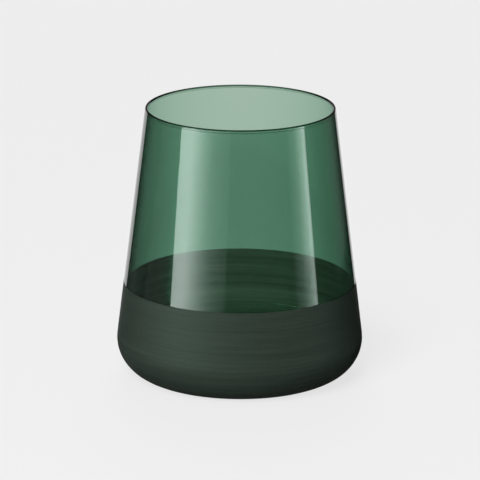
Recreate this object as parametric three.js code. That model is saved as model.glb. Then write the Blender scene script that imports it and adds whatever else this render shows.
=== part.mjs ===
// Water glass: a tumbler of green-tinted glass that tapers in towards the rim, with a round lower
// corner, a thick base and a thin satin coat on the outside of its lower third and under its base.
// Millimetres, +Z up. The origin is the middle of the foot, on the plane that the glass stands on.

import * as THREE from 'three';

// Outside of the glass
const height = 100;
const rimDiameter = 69;
const widestDiameter = 89.6;
const cornerRadius = 13.8;

// Inside of the glass
const lipThickness = 1.1;
const wallThickness = 1.2;
const baseThickness = 4.4;
const insideCornerRadius = 8.5;
const insideFloorRadius = 350;

// Underside
const standRingWidth = 2;
const standRingRound = 1;
const hollowEdgeRound = 1.5;
const hollowEdgeSlope = 48;
const hollowDepth = 1.8;

// Coat
const coatEdgeHeight = 35;
const coatThickness = 0.1;
const coatClearOfTable = 0.04;

// Facets
const facetsAround = 64;
const cornerSteps = 11;
const bareCornerSteps = 2;
const lipSteps = 8;
const insideCornerSteps = 9;
const floorSteps = 4;
const smallRoundSteps = 2;

const degrees = (radians) => THREE.MathUtils.radToDeg(radians);
const radians = (angle) => THREE.MathUtils.degToRad(angle);

// Step of a given length. Angles of the outline are in degrees, from 0 away from the axis to 90
// straight up.
function step(length, angle) {
  return new THREE.Vector2(Math.cos(radians(angle)), Math.sin(radians(angle))).multiplyScalar(length);
}

// Points along an arc of the outline, each with the direction that leads out of the glass there.
// side is 1 where the glass fills the arc's circle, and -1 where the circle is the air beside it.
function arc(centre, radius, from, to, steps, side) {
  return Array.from({ length: steps + 1 }, (_, i) => {
    const angle = THREE.MathUtils.lerp(from, to, i / steps);
    return { at: step(radius, angle).add(centre), out: step(side, angle) };
  });
}

// Direction, in degrees, square to the straight line that touches both circles on their far side.
// The second radius is negative where the line passes that circle on its near side.
function tangentDirection(low, lowRadius, high, highRadius) {
  const between = high.clone().sub(low);
  return degrees(between.angle() - Math.acos((lowRadius - highRadius) / between.length()));
}

// Places of the circles that the outline runs round, worked out from the sizes above
const lipRadius = lipThickness / 2;
const lipCentre = new THREE.Vector2(rimDiameter / 2 - lipRadius, height - lipRadius);
const footRadius = widestDiameter / 2 - cornerRadius;
const cornerCentre = new THREE.Vector2(footRadius, cornerRadius);
const wallDirection = tangentDirection(cornerCentre, cornerRadius, lipCentre, lipRadius);

// The inside corner touches the inside floor and keeps the wall's thickness to the outside wall
const insideFloorCentre = new THREE.Vector2(0, hollowDepth + baseThickness + insideFloorRadius);
const outOfWall = step(1, wallDirection);
const wallPastFloorCentre = cornerRadius + outOfWall.dot(cornerCentre.clone().sub(insideFloorCentre));
const insideCornerOut = wallPastFloorCentre - wallThickness - insideCornerRadius;
const insideCornerReach = insideFloorRadius - insideCornerRadius;
const insideFloorEdge = wallDirection - degrees(Math.acos(insideCornerOut / insideCornerReach));
const insideCorner = step(insideCornerReach, insideFloorEdge).add(insideFloorCentre);
const insideWallDirection = tangentDirection(insideCorner, insideCornerRadius, lipCentre, -lipRadius);

const ringRoundCentre = new THREE.Vector2(footRadius - standRingWidth, standRingRound);
const hollowEdgeReach = standRingRound + hollowEdgeRound;
const hollowEdgeCentre = step(hollowEdgeReach, -90 - hollowEdgeSlope).add(ringRoundCentre);
const hollowEdgeDepth = hollowEdgeCentre.y - hollowDepth;
const hollowRadius = (hollowEdgeRound ** 2 - hollowEdgeCentre.x ** 2 - hollowEdgeDepth ** 2)
  / (2 * (hollowEdgeDepth + hollowEdgeRound));
const hollowCentre = new THREE.Vector2(0, hollowDepth - hollowRadius);
const hollowRim = degrees(Math.atan2(hollowEdgeCentre.y - hollowCentre.y, hollowEdgeCentre.x));

// Angle from straight down at which the coat stops on a round that touches the table, so that the
// coat's own face stays clear of the table
function bareAngle(radius) {
  return degrees(Math.acos((radius - coatClearOfTable) / (radius + coatThickness)));
}

// The hollow of the underside, from the axis out to where its coat ends on the stand ring's round
function coatedHollow() {
  const edgeEnd = 90 - hollowEdgeSlope;
  const coatEnd = -90 - bareAngle(standRingRound);
  return [
    ...arc(hollowCentre, hollowRadius, 90, hollowRim, floorSteps, -1),
    ...arc(hollowEdgeCentre, hollowEdgeRound, hollowRim, edgeEnd, smallRoundSteps, -1).slice(1),
    ...arc(ringRoundCentre, standRingRound, edgeEnd - 180, coatEnd, smallRoundSteps, 1).slice(1),
  ];
}

// The bare stand ring, up to the coat on either side of it
function standRing() {
  return [
    ...arc(ringRoundCentre, standRingRound, -90 - bareAngle(standRingRound), -90, smallRoundSteps, 1),
    ...arc(cornerCentre, cornerRadius, -90, -90 + bareAngle(cornerRadius), bareCornerSteps, 1),
  ];
}

// The side under the coat: the lower corner and the wall above it, up to the coat's edge
function coatedSide() {
  const coatStart = -90 + bareAngle(cornerRadius);
  const corner = arc(cornerCentre, cornerRadius, coatStart, wallDirection, cornerSteps, 1);
  const { at, out } = corner.at(-1);
  const alongWall = (coatEdgeHeight - at.y) / out.x;
  const edge = new THREE.Vector2(-out.y, out.x).multiplyScalar(alongWall).add(at);
  return [...corner, { at: edge, out }];
}

// The round lip and everything inside the glass, down to the middle of its floor
function lipAndInside() {
  const corner = [insideCorner, insideCornerRadius, insideWallDirection, insideFloorEdge];
  return [
    ...arc(lipCentre, lipRadius, wallDirection, 180 + insideWallDirection, lipSteps, 1),
    ...arc(...corner, insideCornerSteps, -1),
    ...arc(insideFloorCentre, insideFloorRadius, insideFloorEdge, -90, floorSteps, -1).slice(1),
  ];
}

// A body turned about the axis from its outline, with the axis stood up along +Z
function turned(outline) {
  return new THREE.LatheGeometry(outline, facetsAround).rotateX(Math.PI / 2);
}

function glassBody() {
  const rest = [...standRing().slice(1, -1), ...coatedSide(), ...lipAndInside()];
  return turned([...coatedHollow(), ...rest].map((point) => point.at));
}

// A film of coat on a stretch of the glass: out along the glass and back along its own face
function film(stretch) {
  const onGlass = stretch.map((point) => point.at);
  const face = stretch.map(({ at, out }) => out.clone().multiplyScalar(coatThickness).add(at));
  return [...face, ...onGlass.reverse()];
}

function sideCoat() {
  const outline = film(coatedSide());
  return turned([...outline, outline[0]]);
}

function baseCoat() {
  return turned(film(coatedHollow()));
}

const tintedGlass = new THREE.MeshStandardMaterial({
  color: 0x4f8468,
  roughness: 0.03,
  metalness: 0,
  transparent: true,
  opacity: 0.55,
});
const satinCoat = new THREE.MeshStandardMaterial({ color: 0x3a473d, roughness: 0.5, metalness: 0 });

const waterGlass = new THREE.Group();
const pieces = [
  ['glass_body', glassBody(), tintedGlass],
  ['side_coat', sideCoat(), satinCoat],
  ['base_coat', baseCoat(), satinCoat],
];
for (const [name, geometry, material] of pieces) {
  const mesh = new THREE.Mesh(geometry, material);
  mesh.name = name;
  waterGlass.add(mesh);
}

export default waterGlass;
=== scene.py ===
# Water glass: a tumbler of green-tinted glass with a satin coat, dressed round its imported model.
from math import acos, asin, atan2, cos, degrees, pi, radians, sin, tan

import bmesh
import bpy
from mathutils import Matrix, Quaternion, Vector, noise


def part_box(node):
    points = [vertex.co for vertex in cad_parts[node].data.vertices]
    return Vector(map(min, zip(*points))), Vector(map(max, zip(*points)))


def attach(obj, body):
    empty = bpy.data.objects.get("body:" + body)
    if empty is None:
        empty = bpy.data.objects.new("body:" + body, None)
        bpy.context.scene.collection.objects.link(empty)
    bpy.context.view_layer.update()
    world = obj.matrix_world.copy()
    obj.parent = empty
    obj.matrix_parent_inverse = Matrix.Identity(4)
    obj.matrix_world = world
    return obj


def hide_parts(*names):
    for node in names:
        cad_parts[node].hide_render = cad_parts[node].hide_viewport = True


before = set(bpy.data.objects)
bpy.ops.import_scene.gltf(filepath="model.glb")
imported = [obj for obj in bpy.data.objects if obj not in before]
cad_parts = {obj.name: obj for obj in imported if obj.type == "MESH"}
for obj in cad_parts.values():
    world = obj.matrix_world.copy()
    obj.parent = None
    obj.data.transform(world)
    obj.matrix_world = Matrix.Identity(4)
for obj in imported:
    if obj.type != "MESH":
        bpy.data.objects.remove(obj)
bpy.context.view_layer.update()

millimetre = 0.001
print("frame loaded:", ", ".join(sorted(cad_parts)))


# A number, colour or vector that a node gives. Plain arithmetic on numbers adds the Math nodes.
class Signal:
    def __init__(self, finish, socket):
        self.finish, self.socket = finish, socket

    def maths(self, operation, *terms):
        return self.finish.add("ShaderNodeMath", {"operation": operation}, dict(enumerate(terms)))

    def __add__(self, other):
        return self.maths("ADD", self, other)

    def __radd__(self, other):
        return self.maths("ADD", other, self)

    def __sub__(self, other):
        return self.maths("SUBTRACT", self, other)

    def __rsub__(self, other):
        return self.maths("SUBTRACT", other, self)

    def __mul__(self, other):
        return self.maths("MULTIPLY", self, other)

    def __rmul__(self, other):
        return self.maths("MULTIPLY", other, self)

    def __truediv__(self, other):
        return self.maths("DIVIDE", self, other)

    def __rtruediv__(self, other):
        return self.maths("DIVIDE", other, self)

    def atLeast(self, other):
        return self.maths("MAXIMUM", self, other)

    def atMost(self, other):
        return self.maths("MINIMUM", self, other)

    # 0 where the number is at start, 1 where it is at end, and no less or more beyond them
    def between(self, start, end):
        return ((self - start) / (end - start)).atLeast(0).atMost(1)


# A node tree that is built up one node at a time
class Finish:
    def __init__(self, owner):
        owner.use_nodes = True
        self.owner, self.tree = owner, owner.node_tree
        self.tree.nodes.clear()

    def add(self, kind, settings=None, sockets=None, output=0):
        node = self.tree.nodes.new(kind)
        for name, value in (settings or {}).items():
            if name == "stops":
                self.setStops(node.color_ramp, value)
            else:
                setattr(node, name, value)
        for name, value in (sockets or {}).items():
            if isinstance(value, Signal):
                self.tree.links.new(value.socket, node.inputs[name])
            else:
                node.inputs[name].default_value = value
        return Signal(self, node.outputs[output]) if node.outputs else None

    def setStops(self, ramp, stops):
        while len(ramp.elements) < len(stops):
            ramp.elements.new(0.5)
        for element, (position, shade) in zip(ramp.elements, stops):
            element.position = position
            element.color = (shade, shade, shade, 1)

    # A number that the mesh keeps for each of its points
    def stored(self, name):
        return self.add("ShaderNodeAttribute", {"attribute_name": name}, {}, "Fac")

    # The X, Y or Z of a vector
    def part(self, vector, axis):
        return self.add("ShaderNodeSeparateXYZ", {}, {"Vector": vector}, axis)

    # How far a point of the surface is from the object's origin
    def reach(self):
        place = self.add("ShaderNodeTexCoord", {}, {}, "Object")
        return self.add("ShaderNodeVectorMath", {"operation": "LENGTH"}, {0: place}, "Value")

    # A number that runs through the ramp from each (place, value) stop to the next
    def ramp(self, number, stops):
        return self.add("ShaderNodeValToRGB", {"stops": stops}, {"Fac": number})

    # A blend of two colours. The Mix node's sockets for colours go by number, as their names repeat.
    def blend(self, share, first, second, way="MIX"):
        settings = {"data_type": "RGBA", "blend_type": way}
        return self.add("ShaderNodeMix", settings, {0: share, 6: first, 7: second}, 2)

    # A colour made darker by a number
    def shaded(self, colour, shade):
        return self.blend(1.0, colour, shade, "MULTIPLY")


# Outline of the glass in the plane of its axis: x is away from the axis and y is up
glassShape = {
    "rimRadius": 34.5 * millimetre,
    "cornerRadius": 13.8 * millimetre,
    "lipThickness": 1.1 * millimetre,
    "wallThickness": 1.2 * millimetre,
    "baseThickness": 4.4 * millimetre,
    "insideCornerRadius": 8.5 * millimetre,
    "insideFloorRadius": 350 * millimetre,
    "standRingWidth": 2 * millimetre,
    "standRingRound": 1 * millimetre,
    "hollowEdgeRound": 1.5 * millimetre,
    "hollowEdgeSlope": 48,
    "hollowDepth": 1.8 * millimetre,
    "ringBelow": 0.6 * millimetre,  # from the lip down to the faint ring of painted shade under it
    "ringWidth": 0.5 * millimetre,
    "ringShade": 0.85,  # how far its painted shade goes from the wall's to the lip's
    "columns": 256,
    "step": 2 * millimetre,  # longest step along the outline
    "turnStep": 5,  # widest step round a curve, in degrees
    "axisWidth": 0.001 * millimetre,  # a station within this is one point on the axis
}


# A place on an outline, with the direction that leads out of the glass there
class Station:
    slot = 0  # which of the piece's finishes it has

    def __init__(self, at, out):
        self.at, self.out = at, out


def direction(angle):
    return Vector((cos(radians(angle)), sin(radians(angle))))


# Stations along an arc. side is 1 where the glass fills the circle and -1 where the circle is air.
def arc(centre, radius, start, end, side, step=glassShape["step"]):
    length = abs(radius * radians(end - start))
    count = max(2, round(max(length / step, abs(end - start) / glassShape["turnStep"])))
    spokes = [direction(start + (end - start) * i / count) for i in range(count + 1)]
    return [Station(centre + spoke * radius, spoke * side) for spoke in spokes]


# Stations between two others along a straight stretch, without either of them
def straight(first, last, step=glassShape["step"]):
    count = max(2, round((last.at - first.at).length / step))
    return [Station(first.at.lerp(last.at, i / count), first.out) for i in range(1, count)]


# Angle square to the line that touches both circles on their far side. The second radius is
# negative where the line passes that circle on its near side.
def tangentAngle(low, lowRadius, high, highRadius):
    between = high - low
    return degrees(atan2(between.y, between.x) - acos((lowRadius - highRadius) / between.length))


class Outline:
    def __init__(self, shape, glassHigh, coatHigh):
        for name, value in shape.items():
            setattr(self, name, value)
        self.height, self.widest = glassHigh.z, glassHigh.x
        self.coatRoom = coatHigh.x - glassHigh.x  # what the solid coat stands out by
        self.coatTop = coatHigh.z
        self.lipRadius = self.lipThickness / 2
        self.lipCentre = Vector((self.rimRadius - self.lipRadius, self.height - self.lipRadius))
        self.footRadius = self.widest - self.cornerRadius
        self.cornerCentre = Vector((self.footRadius, self.cornerRadius))
        self.wallAngle = tangentAngle(
            self.cornerCentre, self.cornerRadius, self.lipCentre, self.lipRadius)
        self.placeInside()
        self.placeHollow()

    # The inside corner touches the inside floor and keeps the wall's thickness to the outside wall
    def placeInside(self):
        floorHeight = self.hollowDepth + self.baseThickness
        self.insideFloorCentre = Vector((0, floorHeight + self.insideFloorRadius))
        toCorner = self.cornerCentre - self.insideFloorCentre
        wallOut = direction(self.wallAngle).dot(toCorner) + self.cornerRadius
        reach = self.insideFloorRadius - self.insideCornerRadius
        cornerOut = wallOut - self.wallThickness - self.insideCornerRadius
        self.insideFloorEdge = self.wallAngle - degrees(acos(cornerOut / reach))
        self.insideCornerCentre = self.insideFloorCentre + direction(self.insideFloorEdge) * reach
        self.insideWallAngle = tangentAngle(
            self.insideCornerCentre, self.insideCornerRadius, self.lipCentre, -self.lipRadius)

    # The hollow's dome meets the stand ring's round in a round edge
    def placeHollow(self):
        self.ringCentre = Vector((self.footRadius - self.standRingWidth, self.standRingRound))
        between = self.standRingRound + self.hollowEdgeRound
        self.hollowEdgeCentre = self.ringCentre + direction(-90 - self.hollowEdgeSlope) * between
        across, up = self.hollowEdgeCentre.x, self.hollowEdgeCentre.y - self.hollowDepth
        edge = self.hollowEdgeRound
        self.hollowRadius = (edge ** 2 - across ** 2 - up ** 2) / (2 * (up + edge))
        self.hollowCentre = Vector((0, self.hollowDepth - self.hollowRadius))
        self.hollowRim = degrees(atan2(self.hollowEdgeCentre.y - self.hollowCentre.y, across))

    # Angle from straight down at which the coat stops, so that its face stays clear of the table
    def bareAngle(self, radius, clearance):
        return degrees(acos((radius - clearance) / (radius + self.coatRoom)))

    # The hollow of the underside, from the axis out to an angle on the stand ring's round
    def hollow(self, end, step):
        slopeEnd = -90 - self.hollowEdgeSlope
        edgeRound = self.hollowEdgeRound
        dome = arc(self.hollowCentre, self.hollowRadius, 90, self.hollowRim, -1, step)
        edge = arc(self.hollowEdgeCentre, edgeRound, self.hollowRim, slopeEnd + 180, -1, step)
        ring = arc(self.ringCentre, self.standRingRound, slopeEnd, end, 1, step)
        return [*dome, *edge[1:], *ring[1:]]

    # The outside, from an angle on the lower corner up to a height on the wall
    def side(self, start, top, step):
        corner = arc(self.cornerCentre, self.cornerRadius, start, self.wallAngle, 1, step)
        foot = corner[-1]
        along = Vector((-foot.out.y, foot.out.x)) * ((top - foot.at.y) / foot.out.x)
        edge = Station(foot.at + along, foot.out)
        return [*corner, *straight(foot, edge, step), edge]

    # The whole glass, from the middle of its hollow out, up and in to the middle of its inside
    # floor. face tells its finishes apart: 0 is inside, 1 outside, 2 the lip, and the ring nearly 2.
    def whole(self):
        lipTop = self.lipCentre.y + self.lipRadius * sin(radians(self.wallAngle))
        side = self.side(-90, lipTop, self.step)
        ring = self.ringUnder(side[-1], side[-2])
        outside = [*self.hollow(-90, self.step), *side[:-1], *ring, side[-1]]
        lip = arc(self.lipCentre, self.lipRadius, self.wallAngle, 180 + self.insideWallAngle, 1)
        corner = arc(self.insideCornerCentre, self.insideCornerRadius,
                     self.insideWallAngle, self.insideFloorEdge, -1)
        floor = arc(self.insideFloorCentre, self.insideFloorRadius, self.insideFloorEdge, -90, -1)
        inside = [lip[-1], *straight(lip[-1], corner[0]), *corner, *floor[1:]]
        for stretch, face in (outside, 1), (lip[1:-1], 2), (inside, 0):
            for station in stretch:
                station.face = face
        ring[1].face = 1 + self.ringShade
        return [*outside, *lip[1:-1], *inside]

    # Three stations close together, going up the wall, for the faint ring of painted shade under the
    # lip
    def ringUnder(self, lip, wall):
        share = 1 / (wall.at - lip.at).length
        places = [self.ringBelow + self.ringWidth * i for i in (0.5, 0, -0.5)]
        return [Station(lip.at.lerp(wall.at, place * share), lip.out) for place in places]


def onAxis(station):
    return station.at.x < glassShape["axisWidth"]


def addObject(name, data):
    thing = bpy.data.objects.new(name, data)
    bpy.context.scene.collection.objects.link(thing)
    return thing


def addMesh(name, shape):
    mesh = bpy.data.meshes.new(name)
    shape.to_mesh(mesh)
    shape.free()
    return addObject(name, mesh)


# A mesh turned about the axis. rise(station, angle) is how far a point stands out from its station,
# and mark names a number of the stations that the mesh keeps for its finish.
def turn(name, loop, mark, rise=None):
    columns = glassShape["columns"]
    shape = bmesh.new()
    marks = shape.verts.layers.float.new(mark)
    rings = []
    for station in loop:
        ring = []
        for column in range(1 if onAxis(station) else columns):
            angle = 2 * pi * column / columns
            at = station.at + station.out * (rise(station, angle) if rise else 0)
            vert = shape.verts.new((at.x * cos(angle), at.x * sin(angle), at.y))
            vert[marks] = getattr(station, mark)
            ring.append(vert)
        rings.append(ring)
    pairs = zip(rings, rings[1:] if onAxis(loop[0]) else rings[1:] + rings[:1])
    for station, (low, high) in zip(loop, pairs):
        for i in range(columns):
            places = (low, i), (low, i + 1), (high, i + 1), (high, i)
            corners = [ring[column % len(ring)] for ring, column in places]
            face = shape.faces.new(list(dict.fromkeys(corners)))  # a triangle at the axis
            face.smooth = True
            face.material_index = station.slot
    bmesh.ops.recalc_face_normals(shape, faces=shape.faces)
    return addMesh(name, shape)


# Normals straight from the outline, so that long and short steps meet without a flaw
def smoothByOutline(piece, loop):
    columns = glassShape["columns"]
    normals = []
    for station in loop:
        for column in range(1 if onAxis(station) else columns):
            angle = 2 * pi * column / columns
            normals.append((station.out.x * cos(angle), station.out.x * sin(angle), station.out.y))
    piece.data.normals_split_custom_set_from_vertices(normals)


def dress(piece, node, slot, *materials):
    for material in materials:
        piece.data.materials.append(material)
    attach(piece, "root")
    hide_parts(node)


outline = Outline(glassShape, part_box("glass_body")[1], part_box("side_coat")[1])

# Tinted glass: clear at the surface, and greener the further the light has to go through it
tintedGlass = {
    "refraction": 1.5,
    "roughness": 0.0,
    "passed": (0.22, 0.52, 0.38, 1),
    "density": 1300,
    "slantPaintedShade": [  # painted shade: the outside darkens where it turns away
        (0.26, 1), (0.36, 0.78), (0.5, 0.63), (0.6, 0.4), (0.64, 0.24), (0.76, 0.05), (1, 0.02)],
    "lip": (0.035, 0.08, 0.055, 1),  # painted shade: the lip is painted dark, where real glass traps the light that runs up the wall
}


def glassFinish():
    finish = Finish(bpy.data.materials.new("tintedGlass"))
    slant = finish.add("ShaderNodeLayerWeight", {}, {}, "Facing")
    face = finish.stored("face")
    # Painted shade: the outside is darker where it turns away from the eye, and the lip and the ring
    # under it are painted dark
    shade = finish.ramp(slant, tintedGlass["slantPaintedShade"])
    wall = finish.blend(face.atMost(1), (1, 1, 1, 1), shade)
    glass = finish.add("ShaderNodeBsdfPrincipled", {}, {
        "Base Color": finish.blend(face - 1, wall, tintedGlass["lip"]),
        "Roughness": tintedGlass["roughness"],
        "IOR": tintedGlass["refraction"],
        "Transmission Weight": 1,
    })
    tint = finish.add("ShaderNodeVolumeAbsorption", {}, {
        "Color": tintedGlass["passed"],
        "Density": tintedGlass["density"],
    })
    finish.add("ShaderNodeOutputMaterial", {}, {"Surface": glass, "Volume": tint})
    return finish.owner


def makeGlass():
    loop = outline.whole()
    piece = turn("tumbler", loop, "face")
    smoothByOutline(piece, loop)
    piece.visible_shadow = False  # lets the lamps light the coat from within
    dress(piece, "glass_body", "tinted_glass", glassFinish())
    print("glass:", len(piece.data.polygons), "faces")


makeGlass()

# Satin coat: brushed on as the glass turned, so its ridges run round it and fade in and out
coatShape = {
    "thickness": 0.05 * millimetre,
    "grip": 0.015 * millimetre,  # how far its inner face reaches into the glass
    "clearance": 0.04 * millimetre,  # between its face and the table
    "step": 0.17 * millimetre,
    "backStride": 2,  # its hidden inner face takes every second step
    "edgeSteps": 4,  # over which the ridges rise from the coat's edges
    "ridgeRise": 0.03 * millimetre,
    "ridgeWidth": 1.0 * millimetre,
    "strokeLength": 28 * millimetre,
    "finerScale": 2.1,  # finer ridges among the others, and their rise beside them
    "finerShare": 0.5,
    "sharpFrom": 50,  # an edge of so many degrees shows sharp
}


# How far the coat's face stands out: ridges along the stroke of the brush
def brushRise(station, angle):
    if station.slot:
        return 0
    reach = outline.widest / coatShape["strokeLength"]
    across = station.along / coatShape["ridgeWidth"]
    place = Vector((cos(angle) * reach, sin(angle) * reach, across))
    finer = noise.noise(place * coatShape["finerScale"])
    wave = noise.noise(place) + coatShape["finerShare"] * finer
    return coatShape["ridgeRise"] * wave * station.fade


# A film on a stretch of the outline: out along the glass, then back along its inner face
def film(stretch):
    face, back = [], []
    along = 0
    for i, station in enumerate(stretch):
        left = len(stretch) - 1 - i
        along += (station.at - stretch[i - 1].at).length if i else 0
        outer = Station(station.at + station.out * coatShape["thickness"], station.out)
        outer.along = along
        outer.fade = min(1, min(i, left) / coatShape["edgeSteps"])
        face.append(outer)
        if i % coatShape["backStride"] == 0 or left == 0:
            inner = Station(station.at - station.out * coatShape["grip"], station.out)
            inner.along, inner.slot = along, 1
            back.append(inner)
    return face + back[::-1]


# The marks that a brush leaves, as noise drawn out round the glass
def brushMarks(finish, along):
    place = finish.add("ShaderNodeTexCoord", {}, {}, "Object")
    flat = finish.add("ShaderNodeVectorMath", {"operation": "MULTIPLY"}, {0: place, 1: (1, 1, 0)})
    spoke = finish.add("ShaderNodeVectorMath", {"operation": "NORMALIZE"}, {0: flat})
    x, y = finish.part(spoke, "X"), finish.part(spoke, "Y")

    def marks(width, length, seed):
        reach = outline.widest / length
        spot = finish.add("ShaderNodeCombineXYZ", {}, {
            "X": x * reach + seed, "Y": y * reach, "Z": along / width})
        return finish.add("ShaderNodeTexNoise", {}, {"Vector": spot, "Scale": 1.0})

    return marks


# Two numbers in one: this share of the first, and the rest of the second
def mixed(first, second, share):
    return first * share + second * (1 - share)


# The coat's face. Its marks are given by their width, their length round the glass and a seed.
satinCoat = {
    "colour": (0.0168, 0.0252, 0.0188, 1),
    "paleColour": (0.027, 0.039, 0.029, 1),  # where the marks are strongest
    "gloss": 0.3,
    "glossTint": (0.75, 1, 0.85, 1),
    "roughness": 0.54,
    "markRoughness": 0.12,  # what the marks add to it
    "fineMarks": (0.35 * millimetre, 30 * millimetre, 3),
    "broadMarks": (1.6 * millimetre, 60 * millimetre, 17),
    "fineShare": 0.5,
    "markStops": [(0.34, 0), (0.68, 1)],
    "strokes": (1.1 * millimetre, 48 * millimetre, 29),
    "strokeShare": 0.35,
    "strokeStops": [(0.5, 0), (0.66, 1)],
    "bumpFineShare": 0.3,
    "bumpStrength": 0.7,
    "bumpHeight": 0.06 * millimetre,
}


def coatFinish():
    finish = Finish(bpy.data.materials.new("satinCoat"))
    marks = brushMarks(finish, finish.stored("along"))
    fine, broad = marks(*satinCoat["fineMarks"]), marks(*satinCoat["broadMarks"])
    grain = finish.ramp(mixed(fine, broad, satinCoat["fineShare"]), satinCoat["markStops"])
    strokes = finish.ramp(marks(*satinCoat["strokes"]), satinCoat["strokeStops"])
    mark = mixed(strokes, grain, satinCoat["strokeShare"])
    bump = finish.add("ShaderNodeBump", {}, {
        "Height": mixed(fine, broad, satinCoat["bumpFineShare"]),
        "Strength": satinCoat["bumpStrength"],
        "Distance": satinCoat["bumpHeight"],
    })
    coat = finish.add("ShaderNodeBsdfPrincipled", {}, {
        "Base Color": finish.blend(mark, satinCoat["colour"], satinCoat["paleColour"]),
        "Roughness": satinCoat["roughness"] + satinCoat["markRoughness"] * mark,
        "Specular IOR Level": satinCoat["gloss"],
        "Specular Tint": satinCoat["glossTint"],
        "Normal": bump,
    })
    finish.add("ShaderNodeOutputMaterial", {}, {"Surface": coat})
    return finish.owner


# The coat's back, wetted by the glass: no gloss of its own. It has painted light near its foot and
# painted shade where it turns away.
coatBack = {
    "colour": (0.235, 0.245, 0.188, 1),
    "paintedLightColour": (0.435, 0.405, 0.335, 1),
    "paintedLightUpTo": 16.2 * millimetre,  # painted light: the back is lighter near its foot, by the way along the outline
    "paintedLightGoneFrom": 27 * millimetre,
    "fineMarks": (0.5 * millimetre, 40 * millimetre, 5),
    "broadMarks": (2.6 * millimetre, 90 * millimetre, 31),
    "fineShare": 0.3,
    "markStops": [(0.38, 0.62), (0.62, 1)],
    "slantPaintedShade": [(0, 1), (0.07, 0.9), (0.15, 0.72), (0.25, 0.6)],  # painted shade: darker where it turns away from the eye
    "roughness": 1.0,
    "gloss": 0.0,
}


def coatBackFinish():
    finish = Finish(bpy.data.materials.new("satinCoatBack"))
    along = finish.stored("along")
    marks = brushMarks(finish, along)
    fine, broad = marks(*coatBack["fineMarks"]), marks(*coatBack["broadMarks"])
    rings = finish.ramp(mixed(fine, broad, coatBack["fineShare"]), coatBack["markStops"])
    # Painted shade where the back turns away from the eye
    slant = finish.add("ShaderNodeLayerWeight", {}, {}, "Facing")
    shade = rings * finish.ramp(slant, coatBack["slantPaintedShade"])
    # Painted light: the back is lighter towards its foot
    footLight = along.between(coatBack["paintedLightGoneFrom"], coatBack["paintedLightUpTo"])
    colour = finish.blend(footLight, coatBack["colour"], coatBack["paintedLightColour"])
    back = finish.add("ShaderNodeBsdfPrincipled", {}, {
        "Base Color": finish.shaded(colour, shade),
        "Roughness": coatBack["roughness"],
        "Specular IOR Level": coatBack["gloss"],
    })
    finish.add("ShaderNodeOutputMaterial", {}, {"Surface": back})
    return finish.owner


def makeCoats():
    materials = coatFinish(), coatBackFinish()
    clearance, step = coatShape["clearance"], coatShape["step"]
    sideStart = -90 + outline.bareAngle(outline.cornerRadius, clearance)
    sideTop = outline.coatTop - outline.coatRoom * sin(radians(outline.wallAngle))
    hollowEnd = -90 - outline.bareAngle(outline.standRingRound, clearance)
    stretches = {
        "side_coat": outline.side(sideStart, sideTop, step),
        "base_coat": outline.hollow(hollowEnd, step),
    }
    for node, stretch in stretches.items():
        piece = turn(node + "_brushed", film(stretch), "along", brushRise)
        piece.data.set_sharp_from_angle(angle=radians(coatShape["sharpFrom"]))
        dress(piece, node, "satin_coat", *materials)
        print(node, len(piece.data.polygons), "faces")


makeCoats()

# Studio: soft panels beside the glass, soft lamps overhead, in front and behind, and a pale room
studio = {
    "pitch": 15.8,  # how far the camera looks down, in degrees
    "roll": 0.2,
    "distance": 1.5825,  # in metres, as are the studio's other lengths
    "aim": (0, 0, 0.0501),
    "lens": 326,
    "clipFrom": 0.05,
    "paleness": 0.98,
    "paleUpTo": 0.06,  # the room's paleness goes by how steeply one looks up, as a sine
    "dimFrom": 0.2,
    "roomFill": 0.03,
    "floorHalf": 12,  # half of the floor's side
    "floorColour": (0.45, 0.45, 0.45, 1),
    "floorGlow": 0.75,  # share of the floor that shows its own paleness, not the light on it
    "floorGlowThroughGlass": 0.9,
    "footShadow": 20 * millimetre,  # how far out of the foot the floor under the glass stays dim
    # Painted light and shade on the floor as seen through the glass: lighter and warmer through one
    # wall, darker through two, and lighter near the glass behind two
    "throughOneWall": (1.25, 1.1, 1.1, 1),
    "throughTwoWalls": (0.93, 0.95, 0.94, 1),
    "throughTwoWallsNear": (1.06, 1.04, 1.06, 1),  # the same, where the floor is near the glass
    "nearUpTo": 0.13,
    "farFrom": 0.24,
}


def placeCamera():
    camera = addObject("camera", bpy.data.cameras.new("camera"))
    tilt = radians(studio["pitch"])
    view = Vector((0, cos(tilt), -sin(tilt)))
    turned = view.to_track_quat("-Z", "Y") @ Quaternion((0, 0, 1), radians(studio["roll"]))
    camera.location = Vector(studio["aim"]) - view * studio["distance"]
    camera.rotation_euler = turned.to_euler()
    camera.data.lens = studio["lens"]
    camera.data.clip_start = studio["clipFrom"]
    bpy.context.scene.camera = camera


# Numbers that are 1 for the rays that show the background: straight on, in a reflection, and
# through the glass
def backgroundRays(finish):
    names = "Is Camera Ray", "Is Glossy Ray", "Is Transmission Ray"
    return [finish.add("ShaderNodeLightPath", {}, {}, name) for name in names]


# The room shows pale low down and dim above, and gives an even fill of its own
def lightRoom():
    world = bpy.data.worlds.new("room")
    bpy.context.scene.world = world
    finish = Finish(world)
    straightOn, mirrored, through = backgroundRays(finish)
    showing = straightOn.atLeast(mirrored).atLeast(through)
    upward = finish.part(finish.add("ShaderNodeTexCoord", {}, {}, "Generated"), "Z")
    low = upward.between(studio["dimFrom"], studio["paleUpTo"])
    shade = showing * low * (studio["paleness"] - studio["roomFill"]) + studio["roomFill"]
    room = finish.add("ShaderNodeBackground", {}, {"Color": shade})
    finish.add("ShaderNodeOutputWorld", {}, {"Surface": room})


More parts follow.
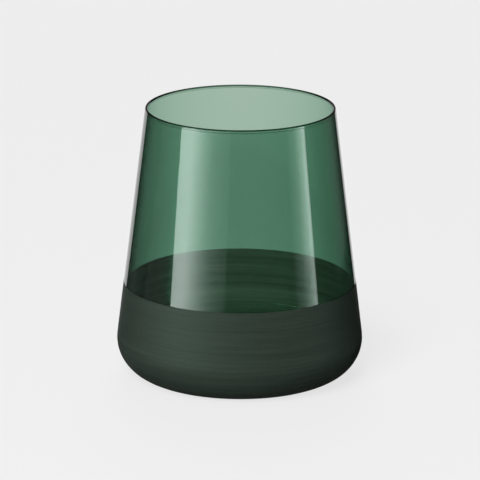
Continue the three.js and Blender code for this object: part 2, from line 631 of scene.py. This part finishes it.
def layFloor():
    shape = bmesh.new()
    bmesh.ops.create_grid(shape, size=studio["floorHalf"])
    floor = addMesh("floor", shape)
    finish = Finish(bpy.data.materials.new("floor"))
    straightOn, mirrored, through = backgroundRays(finish)
    surfaces = finish.add("ShaderNodeLightPath", {}, {}, "Transmission Depth")
    walls = surfaces / 2  # how many walls of glass the ray went through
    fromAxis = finish.reach()
    # Painted shadow and light on the floor where it is seen through the glass: dim round the foot,
    # lighter and warmer through one wall, darker through two, lighter again near the glass
    clear = fromAxis.between(outline.footRadius, outline.footRadius + studio["footShadow"])
    throughGlass = through * clear * studio["floorGlowThroughGlass"]
    glowing = (straightOn.atLeast(mirrored) * studio["floorGlow"]).atLeast(throughGlass)
    near =fromAxis.between(studio["farFrom"], studio["nearUpTo"])
    pastOne = finish.blend(walls.atMost(1), (1, 1, 1, 1), studio["throughOneWall"])
    pastTwo = finish.blend(near, studio["throughTwoWalls"], studio["throughTwoWallsNear"])
    matt = finish.add("ShaderNodeBsdfDiffuse", {}, {"Color": studio["floorColour"]})
    glow = finish.add("ShaderNodeEmission", {}, {
        "Color": finish.blend(walls - 1, pastOne, pastTwo),
        "Strength": studio["paleness"],
    })
    both = finish.add("ShaderNodeMixShader", {}, {0: glowing, 1: matt, 2: glow})
    finish.add("ShaderNodeOutputMaterial", {}, {"Surface": both})
    floor.data.materials.append(finish.owner)


# Tall panels for the glass and the coat's gloss to mirror, one for each side. Bearings are
# clockwise from the far side, and run from a panel's outer edge to its inner one, as its stops do.
panels = {
    "left": {
        "from": -102.5, "to": -176, "lean": 7, "high": 0.13, "radiance": 7.1, "foot": 0.99,
        "stops": [
            (0, 0), (0.06, 0.25), (0.12, 0.76), (0.155, 0.87), (0.29, 1), (0.345, 0.98),
            (0.41, 0.79), (0.465, 0.61), (0.54, 0.39), (0.62, 0.215), (0.69, 0.14),
            (0.77, 0.085), (0.88, 0.045), (1, 0)],
    },
    "right": {
        "from": 102.5, "to": 128, "lean": 0, "high": 0.1, "radiance": 5.7, "foot": 0.74,
        "stops": [
            (0, 0.4), (0.06, 1), (0.11, 1), (0.16, 0.88), (0.31, 0.6), (0.46, 0.38), (0.6, 0.2),
            (1, 0)],
    },
}
everyPanel = {
    "reach": 0.3,  # level with the middle of the glass, about which a panel leans in
    "middle": 0.045,
    "low": 0.004,
    "footUpTo": 0.022,  # up to this height a panel is as dim as at its foot
    "wholeFrom": 0.033,
    "colour": (0.94, 1, 0.98, 1),
    "fadeColour": (0.78, 1, 0.89, 1),  # where a panel fades
}


def panelFinish(light, panel):
    finish = Finish(light)
    across = finish.part(finish.add("ShaderNodeNewGeometry", {}, {}, "Parametric"), "X")
    inward = 1 - across if panel["to"] > panel["from"] else across
    height = finish.part(finish.add("ShaderNodeNewGeometry", {}, {}, "Position"), "Z")
    risen = height.between(everyPanel["footUpTo"], everyPanel["wholeFrom"])
    shade = finish.ramp(inward, panel["stops"]) * (panel["foot"] + risen * (1 - panel["foot"]))
    colour = finish.blend(shade, everyPanel["fadeColour"], everyPanel["colour"])
    glow = finish.add("ShaderNodeEmission", {}, {"Color": finish.shaded(colour, shade)})
    finish.add("ShaderNodeOutputLight", {}, {"Surface": glow})


def hangPanel(name, panel):
    half = radians(panel["to"] - panel["from"]) / 2
    bearing = radians(panel["from"] + panel["to"]) / 2
    lean = radians(panel["lean"])
    light = bpy.data.lights.new(name + "Panel", "AREA")
    light.shape = "RECTANGLE"
    light.size = 2 * everyPanel["reach"] * abs(tan(half))
    light.size_y = (panel["high"] - everyPanel["low"]) / cos(lean)
    light.energy = panel["radiance"] * pi * light.size * light.size_y
    panelFinish(light, panel)
    lamp = addObject(name + "Panel", light)
    height = (everyPanel["low"] + panel["high"]) / 2
    reach = everyPanel["reach"] - (height - everyPanel["middle"]) * tan(lean)
    lamp.location = (reach * sin(bearing), reach * cos(bearing), height)
    facing = Vector((-sin(bearing), -cos(bearing), -tan(lean)))
    lamp.rotation_euler = facing.to_track_quat("-Z", "Y").to_euler()
    lamp.visible_camera = False
    lamp.visible_diffuse = False


# Dark cards on the table and round the glass, which only its reflections show. They leave a gap
# behind the glass: a card's edge lies in one direction from the side of the glass that mirrors it.
# Their shades go by the bearing, clockwise from the gap's right edge to its left one.
cards = {
    "right": 22,
    "left": -30.5,
    "rows": [  # the reach from the axis and the height of each row of corners
        (0.0345, 0.0002), (0.1, 0.0002), (0.16, 0.0003), (0.24, 0.0004), (0.34, 0.0005), (0.34, 0.8)],
    "steps": 60,
    "shades": [
        (20, 0), (40, 0.04), (50, 0.15), (62, 0.12), (75, 0.03), (130, 0.05), (180, 0.1),
        (250, 0.1), (254, 0.21), (279, 0.2), (282, 0.09), (300, 0.12), (318, 0.02), (329, 0)],
    "nearUpTo": 0.26,  # on the right, the cards are darker near the glass
    "farFrom": 0.3,
    "nearDim": 0.85,
    "rightUpTo": 90,
    "restFrom": 100,
}


# How far round from the far side the gap's edge is, at this reach or at the second row's if that
# is further out
def edgeBearing(way, reach):
    side = (outline.rimRadius + outline.widest) / 2
    return abs(way) + degrees(asin(side * cos(radians(way)) / max(reach, cards["rows"][1][0])))


def cardFinish():
    finish = Finish(bpy.data.materials.new("darkCards"))
    bearing = finish.stored("bearing")
    near = finish.reach().between(cards["farFrom"], cards["nearUpTo"])
    right = bearing.between(cards["restFrom"], cards["rightUpTo"])
    stops = [(place / 360, shade) for place, shade in cards["shades"]]
    shade = finish.ramp(bearing / 360, stops) * (1 - near * right * cards["nearDim"])
    glow = finish.add("ShaderNodeEmission", {}, {"Color": shade})
    finish.add("ShaderNodeOutputMaterial", {}, {"Surface": glow})
    return finish.owner


def standCards():
    shape = bmesh.new()
    bearings = shape.verts.layers.float.new("bearing")
    rows = []
    for reach, height in cards["rows"]:
        row = []
        first = edgeBearing(cards["right"], reach)
        last = 360 - edgeBearing(cards["left"], reach)
        for i in range(cards["steps"] + 1):
            bearing = first + (last - first) * i / cards["steps"]
            across, away = sin(radians(bearing)), cos(radians(bearing))
            vert = shape.verts.new((reach * across, reach * away, height))
            vert[bearings] = bearing
            row.append(vert)
        rows.append(row)
    for low, high in zip(rows, rows[1:]):
        for i in range(cards["steps"]):
            shape.faces.new((low[i], low[i + 1], high[i + 1], high[i]))
    wall = addMesh("darkCards", shape)
    wall.data.materials.append(cardFinish())
    wall.visible_camera = False
    wall.visible_diffuse = False
    wall.visible_transmission = False
    wall.visible_shadow = False


# Big soft lamps that light what is matt. A lamp's light is 1 where it makes white come out white.
softLamps = {
    "overhead": {"bearing": 0, "rise": 86, "distance": 1.4, "size": 1.2, "light": 0.12},
    "front": {"bearing": -161, "rise": 35, "distance": 1.6, "size": 0.9, "light": 1.44},
    "back": {"bearing": 0, "rise": 38, "distance": 1.6, "size": 0.9, "light": 0.5},
}


def hangLamp(name, lamp):
    light = bpy.data.lights.new(name + "Lamp", "AREA")
    light.size = lamp["size"]
    light.energy = lamp["light"] * (pi * lamp["distance"]) ** 2
    bulb = addObject(name + "Lamp", light)
    bearing, rise = radians(lamp["bearing"]), radians(lamp["rise"])
    away = Vector((sin(bearing) * cos(rise), cos(bearing) * cos(rise), sin(rise)))
    bulb.location = Vector(studio["aim"]) + away * lamp["distance"]
    bulb.rotation_euler = (-away).to_track_quat("-Z", "Y").to_euler()
    bulb.visible_camera = False
    bulb.visible_glossy = False
    bulb.visible_transmission = False


placeCamera()
lightRoom()
layFloor()
for name, panel in panels.items():
    hangPanel(name, panel)
for name, lamp in softLamps.items():
    hangLamp(name, lamp)
standCards()
bpy.context.scene.view_settings.view_transform = "Standard"
print("studio lit")
